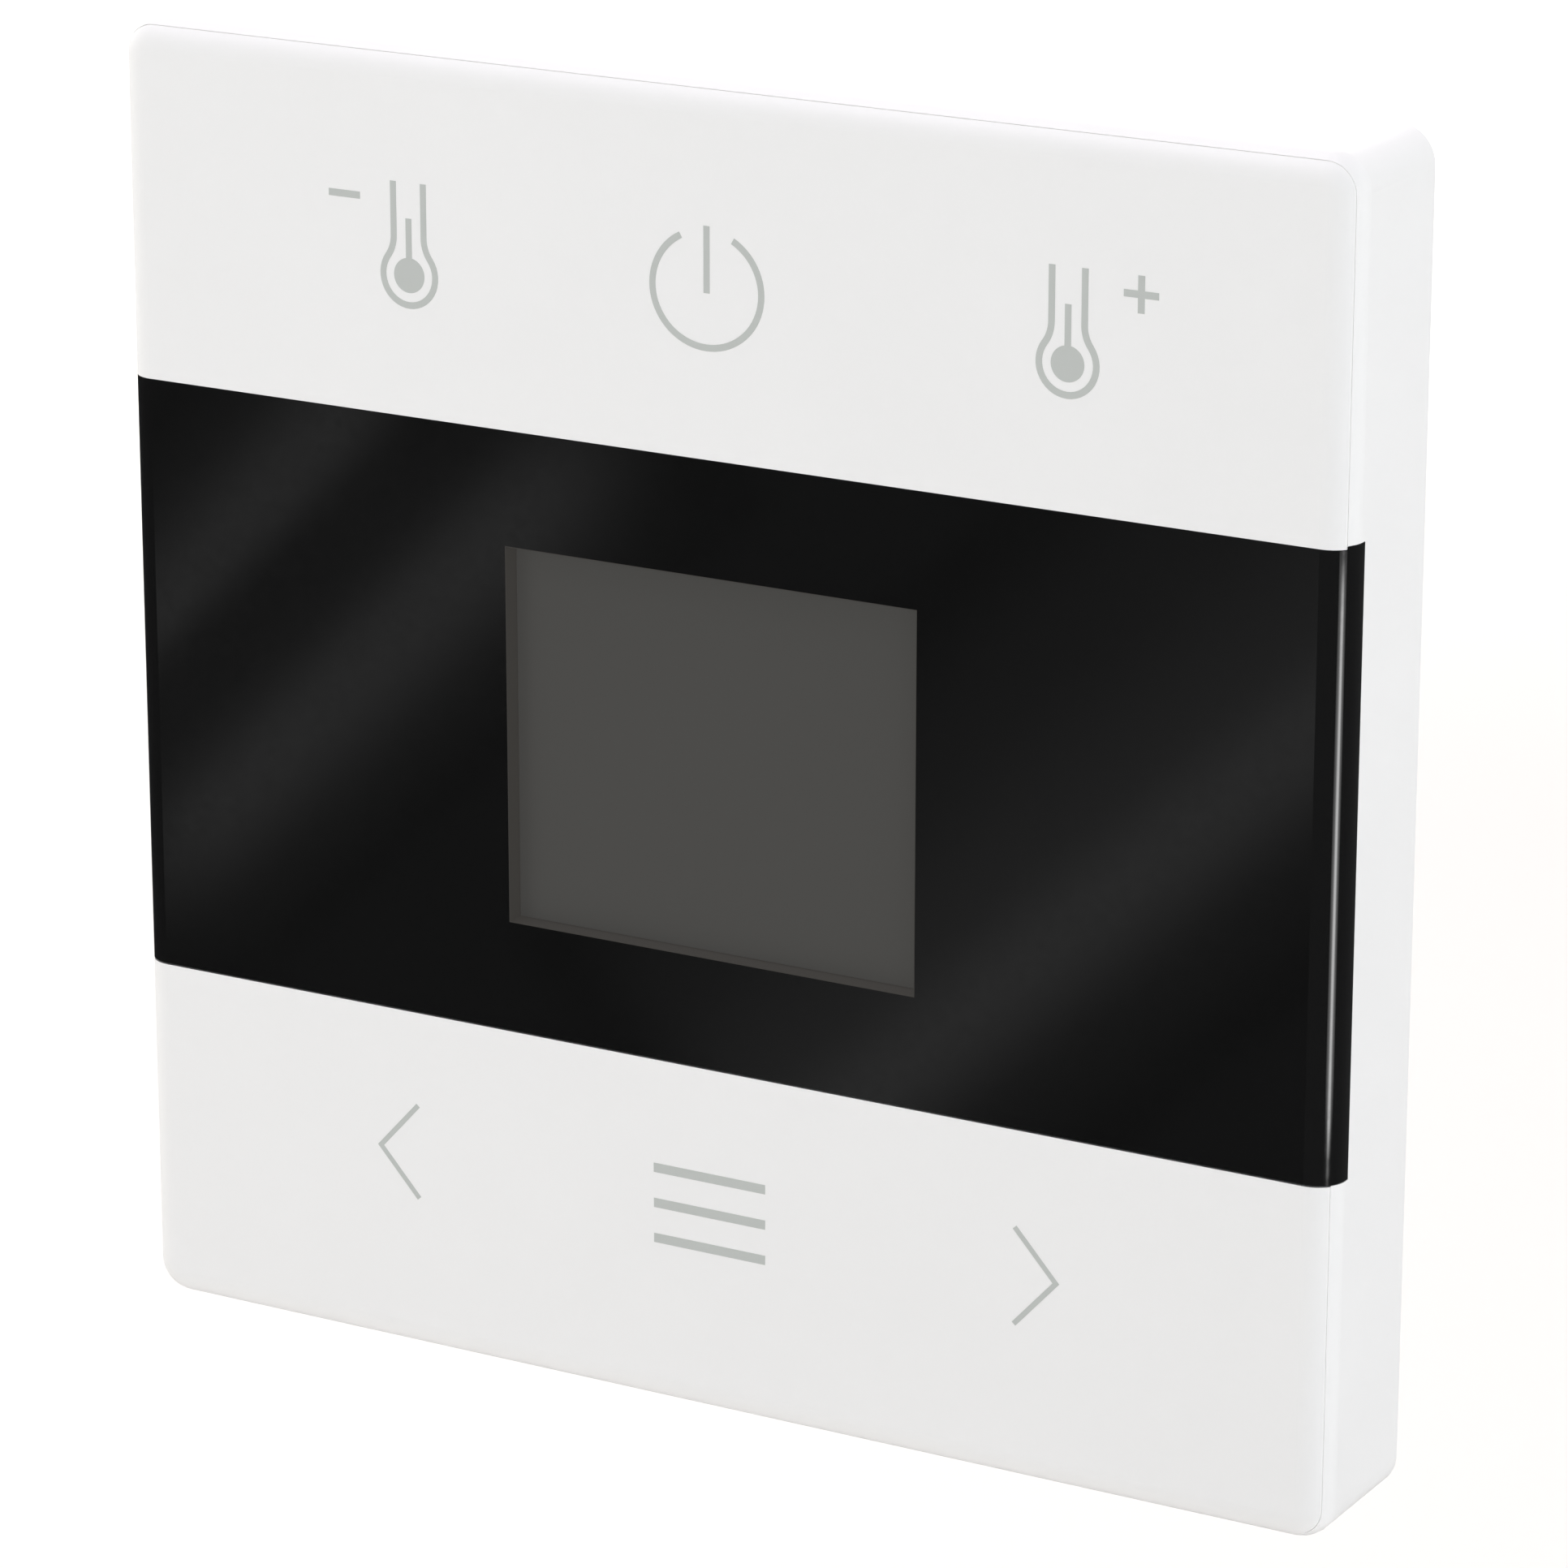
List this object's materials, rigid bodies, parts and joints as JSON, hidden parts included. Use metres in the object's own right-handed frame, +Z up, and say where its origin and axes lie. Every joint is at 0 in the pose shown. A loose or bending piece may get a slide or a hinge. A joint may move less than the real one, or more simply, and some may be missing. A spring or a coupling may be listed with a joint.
{
  "type": "wall thermostat",
  "caption": "Square wall thermostat insert with printed rocker key plates, a glossy black display band and a rear housing with a bus terminal pocket.",
  "frame": {"origin": "centre of the rear housing's flat back face", "axes": "+Y into the wall, front faces -Y, +Z up, +X to the right seen from the front"},
  "size_m": [0.055, 0.015, 0.055],
  "materials": {
    "white_shell": "fine satin grain",
    "white_keys": "fine satin grain",
    "printed_symbols": "grey pad print",
    "black_lens": "polished",
    "smoked_pane": "anti-glare",
    "adhesive": "matt tape",
    "foam": "closed-cell foam",
    "display_glass": "coated",
    "light_guide": "clear acrylic",
    "tray": "moulded",
    "led": "phosphor",
    "polyimide": "film",
    "black_moulding": "moulded",
    "steel": "turned",
    "spring_steel": "rolled",
    "carrier_plastic": "moulded",
    "silicone": "silicone",
    "board": "solder mask on laminate",
    "aluminium_can": "sleeveless can",
    "ferrite": "sintered",
    "sensor_resin": "dipped",
    "terminal_plastic": "moulded",
    "gold_plate": "plated",
    "red_plastic": "moulded",
    "light_pipe": "tinted acrylic",
    "rear_plastic": "textured",
    "brass": "knurled"
  },
  "bodies": {
    "base": {"front_frame": "white_shell", "lens": "black_lens", "lens_tape": "adhesive", "display_window": "smoked_pane", "display_gasket": "foam", "display_cell": "display_glass", "light_guide": "light_guide", "display_tray": "tray", "backlight_leds": "led", "display_flex": "polyimide", "flex_connector": "black_moulding", "guide_screws": "steel", "upper_switch_mat": "silicone", "lower_switch_mat": "silicone", "main_board": "board", "controller_chip": "black_moulding", "interface_chips": "black_moulding", "buffer_capacitors": "aluminium_can", "supply_inductor": "ferrite", "temperature_sensor": "sensor_resin", "terminal_block": "terminal_plastic", "terminal_pins": "gold_plate", "programming_switch": "black_moulding", "programming_light": "light_pipe", "rear_housing": "rear_plastic", "housing_screws": "steel", "threaded_inserts": "brass", "spring_clips": "spring_steel"},
    "upper_slider": {"upper_carrier": "carrier_plastic", "upper_pivot_pin": "steel"},
    "upper_plate": {"upper_key": "white_keys"},
    "lower_slider": {"lower_carrier": "carrier_plastic", "lower_pivot_pin": "steel"},
    "lower_plate": {"lower_key": "white_keys"},
    "programming_cap": {"programming_button": "red_plastic"}
  },
  "joints": [
    {"name": "upper_press", "type": "slide", "parent": "base", "child": "upper_slider", "axis": [0, 1, 0], "range_m": [0, 0.0003], "stiffness_N_per_m": 1500, "springref_m": -0.0003, "deforming": ["upper_switch_mat"]},
    {"name": "upper_rock", "type": "hinge", "parent": "upper_slider", "child": "upper_plate", "pos_m": [0, -0.0127, 0.0192], "axis": [0, 0, 1], "range_deg": [-0.8, 0.8], "stiffness_Nm_per_rad": 1},
    {"name": "lower_press", "type": "slide", "parent": "base", "child": "lower_slider", "axis": [0, 1, 0], "range_m": [0, 0.0003], "stiffness_N_per_m": 1500, "springref_m": -0.0003, "deforming": ["lower_switch_mat"]},
    {"name": "lower_rock", "type": "hinge", "parent": "lower_slider", "child": "lower_plate", "pos_m": [0, -0.0127, -0.0192], "axis": [0, 0, 1], "range_deg": [-0.8, 0.8], "stiffness_Nm_per_rad": 1},
    {"name": "programming_press", "type": "slide", "parent": "base", "child": "programming_cap", "axis": [0, -1, 0], "range_m": [0, 0.0005], "stiffness_N_per_m": 800, "springref_m": -0.0003}
  ]
}
